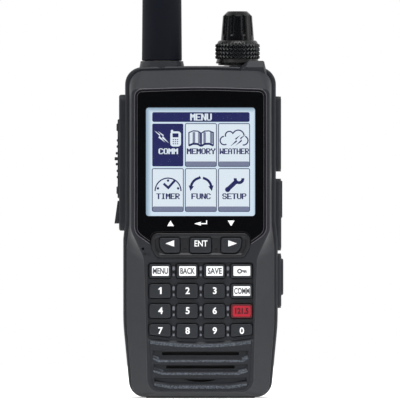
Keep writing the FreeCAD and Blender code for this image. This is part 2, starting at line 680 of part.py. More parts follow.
def side_switches():
    """Small board behind the talk switch with two push switches."""
    board = box(-24.2, -23.0, -4.6, 3.0, 68.0, 104.0)
    pieces = [board]
    for z in (PTT_PLUNGER_Z, MONITOR_PLUNGER_Z):
        pieces.append(box(-26.0, -24.2, -3.0, 2.2, z - 2.6, z + 2.6))
        pieces.append(rod_x(-26.3, -26.0, SIDE_MID_Y, z, 1.2))
    return fuse(pieces)


# ---------------------------------------------------------------- socket side
def side_cover(z0, z1, x_out, pads=()):
    """Rubber flap over a socket, with a round hinge edge at the back and a finger lip at the front."""
    corners = [(HINGE_Y, z1, 0.3), (HINGE_Y, z0, 0.3), (SIDE_Y0, z0, 1.8), (SIDE_Y0, z1, 1.8)]
    flap = side_plate(corners, SIDE_FLOOR + 0.1, x_out)
    outer = [e for e in flap.Edges if min(e.BoundBox.XMin, e.BoundBox.XMax) > x_out - 1e-3]
    ends = [e for e in outer if e.BoundBox.YMin < HINGE_Y - 0.01]
    flap = flap.makeFillet(min(1.4, x_out - HINGE_X - 0.1), ends)
    knuckle = rod_z(z0, z1, HINGE_X, HINGE_Y, HINGE_R)
    flap = flap.fuse(knuckle)
    return flap.multiFuse(list(pads)).removeSplitter() if pads else flap.removeSplitter()


def headset_cover():
    return side_cover(*COVERS["headset_cover"], 32.5)


def data_cover():
    z0, z1 = COVERS["data_cover"]
    corners = [(2.4, z1 - 0.8, 1.4), (2.4, 72.6, 1.4), (-4.4, 72.6, 1.4), (-4.4, z1 - 0.8, 1.4)]
    pad = rounded(side_plate(corners, 31.5, 33.0), 0.4, "X", 33.0)
    return side_cover(z0, z1, 32.6, [pad])


def dc_cover():
    z0, z1 = COVERS["dc_cover"]
    corners = [(2.4, z1 - 2.0, 2.6), (2.4, 41.4, 2.6), (-4.4, 41.4, 2.6), (-4.4, z1 - 2.0, 2.6)]
    pad = rounded(side_plate(corners, 31.5, 33.4), 0.7, "X", 33.4)
    return side_cover(z0, z1, 32.6, [pad])


JACK_X = (16.5, 28.5)


def headset_jack():
    """Twin socket for a 3.5 mm and a 2.5 mm plug."""
    block = box(*JACK_X, -4.0, 3.0, 97.6, 115.6)
    return cut(block, [rod_x(15.5, 29, SIDE_MID_Y, 111.5, 1.85), rod_x(15.5, 29, SIDE_MID_Y, 101.5, 1.35)])


def side_jacks():
    """Data socket and external-supply socket on their own small board."""
    data = box(20.0, 28.5, -4.0, 3.1, 78.0, 82.0).cut(box(21.0, 29, -3.6, 2.7, 78.5, 81.5))
    tongue = box(21.0, 27.0, -2.6, 1.7, 79.6, 80.4)
    supply = box(17.5, 28.5, -4.0, 3.1, SUPPLY_Z - 4.4, SUPPLY_Z + 4.4)
    supply = supply.cut(rod_x(19, 29, SIDE_MID_Y, SUPPLY_Z, 2.1))
    pin = rod_x(18.5, 27.5, SIDE_MID_Y, SUPPLY_Z, 0.6)
    board = box(18.0, 19.4, -5.0, 3.1, 52.0, 84.0)
    board = board.cut(box(17, 19, -4.2, 3.3, 77.8, 82.2))
    return Part.makeCompound([fuse([data, tongue]), fuse([supply, pin]), board])


# ---------------------------------------------------------------- battery and clip
def battery_shape():
    return rear_body().common(box(-40, 40, Y_PACK, 30, -5, Z_PACK))


def battery_case():
    shell = battery_shape()
    room = plate(grown(CHASSIS, -PACK_WALL - 0.6), Y_PACK - 1, Y_BACK - PACK_WALL - 0.2)
    room = room.common(box(-27.5, 27.5, 0, 30, 3, Z_PACK - PACK_WALL))
    room = rounded(room, 2.5, "Y", Y_BACK - PACK_WALL - 0.2)
    shell = shell.cut(room.common(box(-40, 40, 0, 30, 17.2, 140)))
    shell = shell.cut(box(-27.5, 27.5, Y_PACK - 1, 13.8, 4.0, 17.3))
    shell = shell.cut(plate(lid_outline(0.1), Y_PACK - 1, Y_PACK + 1.35))
    shell = shell.fuse(box(-FOOT_HALF_W, FOOT_HALF_W, Y_PACK, FOOT_Y[1], 0, 1.0))
    latch_slot = box(-10.3, 10.3, 15.0, 20, 2.4, 15.9)
    return shell.cut(latch_slot).removeSplitter()


def lid_outline(extra):
    return rectangle(0, 49.2, 57.2 + 2 * extra, 92.6 + 2 * extra, 3.0)


def battery_lid():
    return plate(lid_outline(0), Y_PACK, Y_PACK + 1.3)


def battery_cells():
    """Two flat lithium-ion cells, one above the other."""
    cells = []
    for z in (37.0, 74.8):
        cell = box(-25.5, 25.5, 6.7, 15.3, z - 17.6, z + 17.6)
        cells.append(cell.makeFillet(2.0, [e for e in cell.Edges if e.BoundBox.ZLength > 30]))
    return Part.makeCompound(cells)


def battery_contacts():
    """Three plated contacts on the front of the pack and two charging contacts on its back."""
    pads = [box(x - 2, x + 2, Y_PACK - 0.12, Y_PACK, CONTACT_Z - 1.5, CONTACT_Z + 1.5) for x in CONTACT_X]
    pads += [rod_y(Y_BACK, Y_BACK + 0.12, x, 22.0, 1.8) for x in (-8, 8)]
    return Part.makeCompound(pads)


def chassis_terminals():
    """Sprung pins that meet the battery contacts."""
    pins = []
    for x in CONTACT_X:
        pins.append(fuse([rod_y(-2.0, Y_BAY, x, CONTACT_Z, 1.0), rod_y(-2.0, 2.9, x, CONTACT_Z, 1.7)]))
    return Part.makeCompound(pins)


def battery_latch():
    """Ridged slider that releases the pack."""
    slider = box(-10.0, 10.0, 15.2, 17.2, 2.7, 12.4)
    ridges = [box(-8.0, 8.0, 17.0, 17.7, z, z + 0.8) for z in (4.6, 6.2, 7.8, 9.4)]
    return fuse([slider] + ridges)


def clip_base():
    """Plate screwed to the pack, with two ears for the pin."""
    base = plate(rectangle(0, 86.0, 24.0, 18.0, 2.0), Y_BACK + 0.05, Y_BACK + 1.6)
    ears = []
    for side in (-1, 1):
        x0, x1 = sorted((side * 8.6, side * 11.2))
        ear = box(x0, x1, Y_BACK + 1.0, CLIP_PIN_Y, CLIP_PIN_Z - 3.2, CLIP_PIN_Z + 3.2)
        ears.append(ear.fuse(rod_x(x0, x1, CLIP_PIN_Y, CLIP_PIN_Z, 3.2)))
    base = fuse([base] + ears)
    holes = [rod_x(-12, 12, CLIP_PIN_Y, CLIP_PIN_Z, 1.06)]
    for x in (-5.0, 5.0):
        holes.append(rod_y(10, 22, x, 80.4, 1.3))
        holes.append(Part.makeCone(1.3, 2.5, 1.2, vec(x, Y_BACK + 0.41, 80.4), vec(0, 1, 0)))
    return cut(base, holes)


def clip_screws():
    """Two identical countersunk screws."""
    screws = []
    for x in (-5.0, 5.0):
        head = Part.makeCone(1.2, 2.4, 1.1, vec(x, Y_BACK + 0.45, 80.4), vec(0, 1, 0))
        shank = rod_y(Y_BACK + 0.06, Y_BACK + 0.5, x, 80.4, 1.2)
        slot = box(x - 1.6, x + 1.6, Y_BACK + 1.1, Y_BACK + 3, 80.4 - 0.25, 80.4 + 0.25)
        screws.append(fuse([head, shank]).cut(slot))
    return Part.makeCompound(screws)


def clip_lever():
    """Sprung tongue of the belt clip: thumb pad above the pin, hooked end below."""
    y, z = CLIP_PIN_Y, CLIP_PIN_Z
    outside = [(3.6, 9.6), (3.6, -41.0), (-2.9, -46.2), (-2.9, -43.4), (1.5, -39.6)]
    inside = [(1.5, -2.0), (-2.0, -2.0), (-2.0, 2.0), (1.5, 2.0), (1.5, 9.6)]
    points = [vec(-CLIP_HALF_W, y + dy, z + dz) for dy, dz in outside + inside]
    tongue = Part.Face(Part.makePolygon(points + points[:1])).extrude(vec(2 * CLIP_HALF_W, 0, 0))
    reach = CLIP_HALF_W + 1
    grooves = [box(-reach, reach, y + 3.2, y + 5, z + dz, z + dz + 0.7) for dz in (4.2, 5.7, 7.2)]
    spring_room = box(-2.6, 2.6, y - 3, y + 2.1, z - 3.2, z + 3.2)
    barrel = rod_x(-CLIP_HALF_W, CLIP_HALF_W, y, z, 2.0)
    long_edges = [e for e in tongue.Edges if e.BoundBox.ZLength > 30]
    tongue = tongue.makeFillet(0.9, [e for e in long_edges if abs(e.BoundBox.YMin - (y + 3.6)) < 1e-3])
    return cut(tongue.fuse(barrel), grooves + [spring_room, rod_x(-12, 12, y, z, 1.06)])


def clip_pin():
    return rod_x(-11.1, 11.1, CLIP_PIN_Y, CLIP_PIN_Z, 1.0)


def clip_spring():
    """Torsion spring round the pin, between the lever's two barrels."""
    wire_r, coil_r, pitch, turns = 0.3, 1.5, 0.85, 5
    helix = Part.makeHelix(pitch, pitch * turns, coil_r)
    section = Part.Wire(Part.makeCircle(wire_r, vec(coil_r, 0, 0), vec(0, 1, pitch / (2 * pi * coil_r))))
    coil = Part.Wire(helix.Edges).makePipeShell([section], True, True)
    coil.rotate(vec(0, 0, 0), vec(0, 1, 0), 90)
    coil.translate(vec(-pitch * turns / 2, CLIP_PIN_Y, CLIP_PIN_Z))
    return coil


# ---------------------------------------------------------------- all parts
SINGLE_PARTS = [
    front_case, rear_chassis, case_gasket, case_screws, display_window, softkey_bezel, keypad_mat, key_domes,
    main_board, lcd_panel, speaker, speaker_mesh, microphone,
    control_body, panel_nuts, dial_ring, volume_knob, volume_shaft, antenna_whip, antenna_plug, antenna_jack,
    side_key_frame, ptt_button, monitor_key, side_switches,
    headset_cover, data_cover, dc_cover, headset_jack, side_jacks,
    battery_case, battery_lid, battery_cells, battery_contacts, chassis_terminals, battery_latch,
    clip_base, clip_screws, clip_lever, clip_pin, clip_spring,
]


def main():
    os.makedirs("parts", exist_ok=True)
    shapes = {make.__name__: make() for make in SINGLE_PARTS}
    shapes.update(key_shapes())
    for name, shape in shapes.items():
        volume = round(sum(solid.Volume for solid in shape.Solids))
        print(name, len(shape.Solids), "solids", volume, "mm3", "valid", shape.isValid())
        shape.exportStep("parts/" + name + ".step")


main()
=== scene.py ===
"""Looks of a handheld aviation radio: finishes for every CAD part, the lit display with its menu, printed
key legends, a knurled dial, and the small printed and moulded details. All pieces are placed in
millimetres, in the frame's axes: +Z up, front facing -Y."""
import json
import math
import bmesh
import bpy
from mathutils import Matrix, Vector

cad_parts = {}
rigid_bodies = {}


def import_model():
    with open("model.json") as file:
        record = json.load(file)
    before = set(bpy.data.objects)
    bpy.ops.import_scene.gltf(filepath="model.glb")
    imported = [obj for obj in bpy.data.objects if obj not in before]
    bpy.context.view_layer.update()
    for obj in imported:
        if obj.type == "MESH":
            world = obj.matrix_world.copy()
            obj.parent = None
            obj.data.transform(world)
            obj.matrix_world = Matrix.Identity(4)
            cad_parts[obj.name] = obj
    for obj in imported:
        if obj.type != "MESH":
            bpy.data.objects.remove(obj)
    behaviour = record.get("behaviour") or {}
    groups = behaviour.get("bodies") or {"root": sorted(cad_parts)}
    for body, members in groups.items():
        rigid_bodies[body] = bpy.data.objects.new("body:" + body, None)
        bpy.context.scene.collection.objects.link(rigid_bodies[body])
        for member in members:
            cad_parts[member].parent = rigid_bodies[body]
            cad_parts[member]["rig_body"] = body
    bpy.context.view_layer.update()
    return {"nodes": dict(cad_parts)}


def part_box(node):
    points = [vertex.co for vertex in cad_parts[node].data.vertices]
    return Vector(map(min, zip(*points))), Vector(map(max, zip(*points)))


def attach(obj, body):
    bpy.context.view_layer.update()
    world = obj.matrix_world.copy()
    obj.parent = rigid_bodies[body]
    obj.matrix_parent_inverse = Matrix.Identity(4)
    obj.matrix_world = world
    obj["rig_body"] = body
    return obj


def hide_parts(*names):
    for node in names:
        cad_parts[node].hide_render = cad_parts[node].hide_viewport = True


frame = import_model()
MM = 0.001


# ---------------------------------------------------------------- measurements from the frame
def node_box(node):
    """Lowest and highest corner of a CAD node, in millimetres."""
    low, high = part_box(node)
    return low / MM, high / MM


def middle(node):
    """(x, z) of a node's middle, in millimetres."""
    low, high = node_box(node)
    return (low.x + high.x) / 2, (low.z + high.z) / 2


LENS_LOW, LENS_HIGH = node_box("display_window")
Y_LENS = LENS_LOW.y
Y_LCD = node_box("lcd_panel")[0].y
Y_FACE = -17.0          # front of the case
Y_PANEL = -16.5         # surface round the keypad and the louvres
ARCH_R = 140.0          # the keypad's lower edge is an arc of this radius
ARCH_LOW = 24.2         # lowest point of that arc
KEY_FACE = node_box("key_5")[0].y
SOFT_FACE = node_box("key_enter")[0].y
PRINT = 0.03            # how far printed ink stands off its surface
SCREEN_X = 21.9         # half width of the lit area
SCREEN_LOW = 73.4       # lower and upper edge of the lit area
SCREEN_HIGH = 116.9
DISPLAY_DOT = 0.6       # from one display dot to the next


# ---------------------------------------------------------------- colour and shader helpers
def tone(code):
    """Linear RGBA of a #rrggbb colour."""
    parts = [int(code[i:i + 2], 16) / 255 for i in (1, 3, 5)]
    return [p / 12.92 if p <= 0.04045 else ((p + 0.055) / 1.055) ** 2.4 for p in parts] + [1.0]


def shaded(colour, factor):
    """The colour made lighter or darker by that factor."""
    return [min(1.0, c * factor) for c in colour[:3]] + [1.0]


class Finish:
    """A procedural material: a Principled shader with helpers that wire nodes to it."""

    def __init__(self, name):
        self.material = bpy.data.materials.new(name)
        self.material.use_nodes = True
        self.tree = self.material.node_tree
        self.shader = self.tree.nodes["Principled BSDF"]
        self.place = self.node("ShaderNodeTexCoord").outputs["Object"]

    def node(self, kind, **settings):
        made = self.tree.nodes.new(kind)
        for key, value in settings.items():
            setattr(made, key, value)
        return made

    def link(self, source, target):
        self.tree.links.new(source, target)

    def set(self, **values):
        """Constant inputs of the shader, written with underscores for spaces."""
        for key, value in values.items():
            self.shader.inputs[key.replace("_", " ")].default_value = value

    def noise(self, size_mm, detail=2.0, stretch=(1, 1, 1)):
        """Noise with features of about that size."""
        mapping = self.node("ShaderNodeMapping")
        mapping.inputs["Scale"].default_value = stretch
        self.link(self.place, mapping.inputs["Vector"])
        noise = self.node("ShaderNodeTexNoise")
        noise.inputs["Scale"].default_value = 1 / (size_mm * MM)
        noise.inputs["Detail"].default_value = detail
        self.link(mapping.outputs["Vector"], noise.inputs["Vector"])
        return noise.outputs["Fac"]

    def mix(self, factor, low, high, socket="Base Color"):
        """Colour between two tones by a factor, sent to a socket."""
        mix = self.node("ShaderNodeMix", data_type="RGBA")
        self.link(factor, mix.inputs["Factor"])
        for slot, value in (("A", low), ("B", high)):
            target = [i for i in mix.inputs if i.name == slot and i.type == "RGBA"][0]
            if isinstance(value, list):
                target.default_value = value
            else:
                self.link(value, target)
        out = [o for o in mix.outputs if o.type == "RGBA"][0]
        if socket:
            self.link(out, self.shader.inputs[socket])
        return out

    def ranged(self, factor, low, high, start=0.0, end=1.0):
        """The factor, from start..end, mapped to low..high."""
        ramp = self.node("ShaderNodeMapRange")
        ramp.inputs["From Min"].default_value = start
        ramp.inputs["From Max"].default_value = end
        ramp.inputs["To Min"].default_value = low
        ramp.inputs["To Max"].default_value = high
        self.link(factor, ramp.inputs["Value"])
        return ramp.outputs["Result"]

    def soft_edges(self, radius_mm):
        """Normal with rounded edges, and how far each place is from being an edge (1 on the flat)."""
        bevel = self.node("ShaderNodeBevel", samples=6)
        bevel.inputs["Radius"].default_value = radius_mm * MM
        flat = self.node("ShaderNodeNewGeometry").outputs["Normal"]
        dot = self.node("ShaderNodeVectorMath", operation="DOT_PRODUCT")
        self.link(bevel.outputs["Normal"], dot.inputs[0])
        self.link(flat, dot.inputs[1])
        return bevel.outputs["Normal"], dot.outputs["Value"]

    def relief(self, height, strength, depth_mm, normal=None):
        """Bump from a height, on top of a normal."""
        bump = self.node("ShaderNodeBump")
        bump.inputs["Strength"].default_value = strength
        bump.inputs["Distance"].default_value = depth_mm * MM
        self.link(height, bump.inputs["Height"])
        if normal:
            self.link(normal, bump.inputs["Normal"])
        self.link(bump.outputs["Normal"], self.shader.inputs["Normal"])


def moulded(name, colour, roughness, grain_mm=0.22, bump=0.35, edge_highlight=1.6, radius_mm=0.22,
            specular=0.5):
    """Moulded plastic or rubber: fine grain, slight mottling, and edges painted lighter, a little as wear
    and mostly as a painted highlight.
    """
    f = Finish(name)
    f.set(Specular_IOR_Level=specular)
    normal, flatness = f.soft_edges(radius_mm)
    grain = f.noise(grain_mm, 3)
    cloud = f.noise(14, 4)
    base = f.mix(cloud, shaded(colour, 0.86), shaded(colour, 1.14), socket=None)
    # Edges are painted lighter: partly wear, mostly a painted highlight standing in for light catching
    # them.
    edge_wear_and_highlight = f.ranged(flatness, 1.0, 0.0, 0.72, 0.985)
    f.mix(edge_wear_and_highlight, base, shaded(colour, edge_highlight))
    f.link(f.ranged(f.noise(3, 3), roughness - 0.06, roughness + 0.06), f.shader.inputs["Roughness"])
    f.relief(grain, bump, 0.03, normal)
    return f.material


def textured(name, dark, light):
    """Coarse grain with a painted highlight: each grain is painted either catching the light or losing it.
    """
    f = Finish(name)
    f.set(Roughness=0.6, Specular_IOR_Level=0.3)
    grain = f.noise(0.42, 2)
    f.mix(f.ranged(grain, 0.0, 1.0, 0.36, 0.62), dark, light)
    f.relief(grain, 0.8, 0.08)
    return f.material


def metal(name, colour, roughness, brushed=(1, 1, 1), radius_mm=0.1):
    """Bare or plated metal with fine brushing and dull patches."""
    f = Finish(name)
    f.set(Metallic=1.0)
    normal, _ = f.soft_edges(radius_mm)
    streaks = f.noise(0.3, 4, brushed)
    f.mix(f.noise(4, 3), shaded(colour, 0.8), shaded(colour, 1.1))
    f.link(f.ranged(streaks, roughness - 0.08, roughness + 0.12), f.shader.inputs["Roughness"])
    f.relief(streaks, 0.2, 0.01, normal)
    return f.material


def gloss_black(name):
    """Polished black border of the display window."""
    f = Finish(name)
    f.set(Specular_IOR_Level=0.18)
    f.mix(f.noise(30, 2), tone("#030304"), tone("#07080b"))
    f.link(f.ranged(f.noise(6, 4), 0.05, 0.12), f.shader.inputs["Roughness"])
    normal, _ = f.soft_edges(0.2)
    f.relief(f.noise(8, 2), 0.05, 0.02, normal)
    return f.material


def clear_pane(name):
    """Clear glass over the display, nearly invisible from the front."""
    f = Finish(name)
    f.set(Alpha=0.05, Specular_IOR_Level=0.25)
    f.mix(f.noise(12, 2), tone("#0a0d12"), tone("#12161c"))
    f.link(f.ranged(f.noise(5, 3), 0.02, 0.06), f.shader.inputs["Roughness"])
    return f.material


def lit(name, colour, strength=1.0, dots=0.04):
    """Part of the lit display: a colour with the faint grid of the display's dots."""
    f = Finish(name)
    f.set(Emission_Strength=strength, Roughness=0.6, Specular_IOR_Level=0.1)
    f.shader.inputs["Base Color"].default_value = (0.0, 0.0, 0.0, 1.0)
    grid = f.node("ShaderNodeTexBrick", offset=0.0)
    grid.inputs["Scale"].default_value = 1 / (DISPLAY_DOT * MM)
    grid.inputs["Mortar Size"].default_value = 0.05
    grid.inputs["Brick Width"].default_value = 0.5
    grid.inputs["Row Height"].default_value = 0.5
    turned = f.node("ShaderNodeMapping")
    turned.inputs["Rotation"].default_value = (math.pi / 2, 0, 0)
    f.link(f.place, turned.inputs["Vector"])
    f.link(turned.outputs["Vector"], grid.inputs["Vector"])
    f.mix(grid.outputs["Fac"], colour, shaded(colour, 1 - 3 * dots), "Emission Color")
    return f.material


def display_glow(name):
    """Backlit ground of the display, shaded at its rim by the frame round it."""
    f = Finish(name)
    f.set(Emission_Strength=1.0, Roughness=0.6, Specular_IOR_Level=0.1)
    f.shader.inputs["Base Color"].default_value = (0.0, 0.0, 0.0, 1.0)
    split = f.node("ShaderNodeSeparateXYZ")
    f.link(f.place, split.inputs[0])
    left = f.ranged(split.outputs["X"], 0.0, 1.0, -SCREEN_X * MM, (-SCREEN_X + 2.2) * MM)
    top = f.ranged(split.outputs["Z"], 1.0, 0.0, (SCREEN_HIGH - 2.0) * MM, SCREEN_HIGH * MM)
    right = f.ranged(split.outputs["X"], 1.0, 0.6, (SCREEN_X - 0.8) * MM, SCREEN_X * MM)
    both = f.node("ShaderNodeMath", operation="MINIMUM")
    f.link(left, both.inputs[0])
    f.link(top, both.inputs[1])
    every = f.node("ShaderNodeMath", operation="MINIMUM")
    f.link(both.outputs[0], every.inputs[0])
    f.link(right, every.inputs[1])
    f.mix(every.outputs[0], tone("#8fa9bf"), tone("#d9ecfb"), "Emission Color")
    return f.material


def ink(name, colour, roughness=0.45):
    """Printed ink, slightly uneven."""
    f = Finish(name)
    f.set(Specular_IOR_Level=0.3)
    f.mix(f.noise(1.2, 3), shaded(colour, 0.93), shaded(colour, 1.0))
    f.link(f.ranged(f.noise(0.5, 3), roughness - 0.05, roughness + 0.1), f.shader.inputs["Roughness"])
    f.relief(f.noise(0.25, 2), 0.15, 0.01)
    return f.material


def woven(name, colour):
    """Fine woven cloth."""
    f = Finish(name)
    f.set(Roughness=0.95, Specular_IOR_Level=0.1)
    weave = f.node("ShaderNodeTexChecker")
    weave.inputs["Scale"].default_value = 1 / (0.35 * MM)
    f.link(f.place, weave.inputs["Vector"])
    f.mix(weave.outputs["Fac"], shaded(colour, 0.5), shaded(colour, 1.6))
    f.relief(weave.outputs["Fac"], 0.4, 0.08)
    return f.material


def circuit(name, colour):
    """Solder mask with faint tracks."""
    f = Finish(name)
    f.set(Specular_IOR_Level=0.5)
    tracks = f.node("ShaderNodeTexBrick")
    tracks.inputs["Scale"].default_value = 1 / (2.4 * MM)
    tracks.inputs["Mortar Size"].default_value = 0.03
    f.link(f.place, tracks.inputs["Vector"])
    f.mix(tracks.outputs["Fac"], shaded(colour, 0.9), shaded(colour, 1.7))
    f.link(f.ranged(f.noise(2, 2), 0.25, 0.4), f.shader.inputs["Roughness"])
    f.relief(tracks.outputs["Fac"], 0.2, 0.03)
    return f.material


FINISHES = {
    # The edge factor of each finish below paints its edges lighter, partly wear and mostly a painted
    # highlight.
    "case": moulded("case plastic", tone("#1b1d22"), 0.5, bump=0.5, edge_highlight=2.2, specular=0.3),
    "chassis": moulded("painted chassis", tone("#1f2126"), 0.45, grain_mm=0.4, bump=0.3, edge_highlight=2.4,
                       specular=0.3),
    "rubber": moulded("cover rubber", tone("#1e2025"), 0.62, grain_mm=0.16, bump=0.5, specular=0.25),
    "antenna": moulded("antenna rubber", tone("#11131a"), 0.55, grain_mm=0.3, bump=0.5, specular=0.06),
    "knob": moulded("knob rubber", tone("#060709"), 0.22, grain_mm=0.14, bump=0.1, edge_highlight=3.0,
                    specular=0.22),
    # The dial's ridges are painted far lighter than its body: a painted highlight that makes the zigzag
    # read as lit.
    "dial": moulded("dial rubber", tone("#08090b"), 0.3, grain_mm=0.14, bump=0.1, edge_highlight=26,
                    radius_mm=0.12, specular=0.3),
    # Ledge grain: the light tone is a painted highlight on upward-facing ledges.
    "ledge": textured("ledge plastic with painted highlight", tone("#202329"), tone("#555b64")),
    "bezel": moulded("bezel plastic", tone("#15161a"), 0.4, grain_mm=0.3, bump=0.15, edge_highlight=2.6,
                     specular=0.3),
    # Window rim: light grey lines as a painted highlight on the window's edge and bead.
    "rim": moulded("window rim painted highlight", tone("#46444a"), 0.3, grain_mm=0.3, bump=0.1, edge_highlight=1.3),
    # Nib caps: light grey as a painted highlight on the small raised dots.
    "nib": moulded("keypad nib painted highlight", tone("#5f6069"), 0.4, grain_mm=0.3, bump=0.2, edge_highlight=1.3),
    "key": moulded("key plastic", tone("#1d2025"), 0.45, grain_mm=0.25, bump=0.15, edge_highlight=2.0,
                   specular=0.3),
    "red": ink("red lacquer", tone("#a3182a"), 0.35),
    "red rim": moulded("red rubber", tone("#4a1119"), 0.5, grain_mm=0.25, bump=0.2, edge_highlight=1.2,
                       specular=0.3),
    "socket": moulded("socket plastic", tone("#17181a"), 0.5),
    "steel": metal("steel", tone("#b9babd"), 0.3, (1, 8, 1)),
    "brass": metal("plated brass", tone("#c9a24a"), 0.25, (1, 1, 6)),
    "foil": metal("cell foil", tone("#b6bac2"), 0.38, (3, 1, 1)),
    "board": circuit("circuit board", tone("#12512d")),
    "mesh": woven("speaker cloth", tone("#141415")),
    "mat": moulded("silicone mat", tone("#84878c"), 0.7),
    "lens": gloss_black("lens border"),
    "pane": clear_pane("clear pane"),
    "glow": display_glow("display ground"),
    "pale": lit("display tile", tone("#e6f2fc"), 1.04),
    "navy": lit("display navy", tone("#292d63")),
    "line": lit("display outline", tone("#3c4068")),
    "band": lit("display shade", tone("#7f87a2")),
    "white": ink("white ink", tone("#f4f5f6")),
    "dark ink": ink("dark ink", tone("#3c3e43")),
    "black ink": ink("black ink", tone("#0c0d0f")),
    "deep red ink": ink("deep red ink", tone("#430812")),
    "label": moulded("battery label", tone("#3a3c40"), 0.35, grain_mm=0.5, bump=0.1),
}

NODE_FINISH = {
    "rear_chassis": "chassis", "case_screws": "steel", "softkey_bezel": "bezel", "key_domes": "steel",
    "main_board": "board", "lcd_panel": "glow", "speaker": "socket", "speaker_mesh": "mesh",
    # The microphone is painted near-black so its hole reads as dark: painted shade.
    "microphone": "socket",
    "control_body": "steel", "panel_nuts": "steel", "volume_knob": "knob", "volume_shaft": "steel",
    "antenna_whip": "antenna", "antenna_plug": "brass", "antenna_jack": "brass", "side_key_frame": "rubber",
    "ptt_button": "rubber", "monitor_key": "rubber", "side_switches": "board", "headset_cover": "rubber",
    "data_cover": "rubber", "dc_cover": "rubber", "headset_jack": "socket", "side_jacks": "socket",
    "case_gasket": "rubber", "keypad_mat": "mat", "battery_cells": "foil", "battery_contacts": "brass",
    "key_emergency": "red rim", "chassis_terminals": "brass", "clip_screws": "steel", "clip_pin": "steel",
    "clip_spring": "steel",
}


def paint(obj, finish):
    """Gives an object one finish in all its slots."""
    obj.data.materials.clear()
    obj.data.materials.append(FINISHES[finish])


def finish_cad_nodes():
    """Paints every CAD node: keys as keys, and everything unlisted as case plastic."""
    for name, obj in frame["nodes"].items():
        plain = "key" if name.startswith("key_") else "case"
        paint(obj, NODE_FINISH.get(name, plain))


# ---------------------------------------------------------------- flat shapes, as (x, z) points in mm
def circle(x, z, r, start=0.0, end=360.0, steps=24):
    """Points of an arc, in degrees anticlockwise from the right."""
    count = steps + 1 if end - start < 360 else steps
    angles = [math.radians(start + (end - start) * i / steps) for i in range(count)]
    return [(x + r * math.cos(a), z + r * math.sin(a)) for a in angles]


def rounded(corners, steps=6):
    """Closed outline from (x, z, radius) corners joined by tangent arcs."""
    points = []
    n = len(corners)
    for i, (x, z, r) in enumerate(corners):
        here = Vector((x, z))
        a = (Vector(corners[i - 1][:2]) - here).normalized()
        b = (Vector(corners[(i + 1) % n][:2]) - here).normalized()
        half = a.angle(b) / 2
        start, end = here + a * (r / math.tan(half)), here + b * (r / math.tan(half))
        centre = here + (a + b).normalized() * (r / math.sin(half))
        u, v = start - centre, end - centre
        sweep = u.angle_signed(v)
        for s in range(steps + 1):
            spot = centre + Matrix.Rotation(-sweep * s / steps, 2) @ u
            points.append((spot.x, spot.y))
    return points


def panel(x0, x1, z0, z1, r):
    """Rounded rectangle."""
    return rounded([(x1, z1, r), (x1, z0, r), (x0, z0, r), (x0, z1, r)])


def ribbon(points, width, closed=False):
    """Quads along a line of points, mitred where they meet."""
    spots = [Vector(p) for p in points]
    n = len(spots)
    sides = []
    for i, p in enumerate(spots):
        before = spots[i - 1] if (i or closed) else None
        after = spots[(i + 1) % n] if (i < n - 1 or closed) else None
        ways = [(p - before).normalized()] if before is not None else []
        ways += [(after - p).normalized()] if after is not None else []
        along = sum(ways, Vector((0, 0))).normalized()
        across = Vector((-along.y, along.x))
        reach = width / 2 / max(0.5, math.sqrt(max(0.0, (1 + ways[0].dot(ways[-1])) / 2)))
        sides.append((p + across * reach, p - across * reach))
    quads = []
    for i in range(n if closed else n - 1):
        (a, b), (c, d) = sides[i], sides[(i + 1) % n]
        quads.append([tuple(a), tuple(c), tuple(d), tuple(b)])
    return quads


def letters(word, x, z, height, width=None, weight=0.0):
    """Faces of a printed word centred on (x, z), fitted to a cap height and, if given, a width."""
    curve = bpy.data.curves.new("word", "FONT")
    curve.body = word
    curve.offset = weight
    curve.resolution_u = 3
    holder = bpy.data.objects.new("word", curve)
    bpy.context.scene.collection.objects.link(holder)
    bpy.context.view_layer.update()
    mesh = bpy.data.meshes.new_from_object(holder.evaluated_get(bpy.context.evaluated_depsgraph_get()))
    bpy.data.objects.remove(holder)
    bpy.data.curves.remove(curve)
    xs = [v.co.x for v in mesh.vertices]
    zs = [v.co.y for v in mesh.vertices]
    tall = height / (max(zs) - min(zs))
    wide = width / (max(xs) - min(xs)) if width else tall
    mid_x, mid_z = (max(xs) + min(xs)) / 2, (max(zs) + min(zs)) / 2
    faces = []
    for polygon in mesh.polygons:
        corners = [mesh.vertices[i].co for i in polygon.vertices]
        faces.append([(x + (c.x - mid_x) * wide, z + (c.y - mid_z) * tall) for c in corners])
    bpy.data.meshes.remove(mesh)
    return faces


# ---------------------------------------------------------------- pieces
def add_mesh(name, bm, body, finish, smooth=None):
    """Turns a bmesh in millimetres into a piece that rides on a body."""
    bmesh.ops.scale(bm, vec=Vector((MM, MM, MM)), verts=bm.verts)
    mesh = bpy.data.meshes.new(name)
    bm.to_mesh(mesh)
    bm.free()
    obj = bpy.data.objects.new(name, mesh)
    bpy.context.scene.collection.objects.link(obj)
    obj.data.materials.append(FINISHES[finish])
    if smooth is not None:
        for polygon in mesh.polygons:
            polygon.use_smooth = True
        mesh.set_sharp_from_angle(angle=math.radians(smooth))
    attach(obj, body)
    return obj


def printed(name, faces, y, body, finish):
    """Ink or display graphics: flat faces at depth y, seen from -Y."""
    bm = bmesh.new()
    for face in faces:
        verts = [bm.verts.new((x, y, z)) for x, z in face]
        made = bm.faces.new(verts)
        made.normal_update()
        if made.normal.y > 0:
            made.normal_flip()
    return add_mesh(name, bm, body, finish)


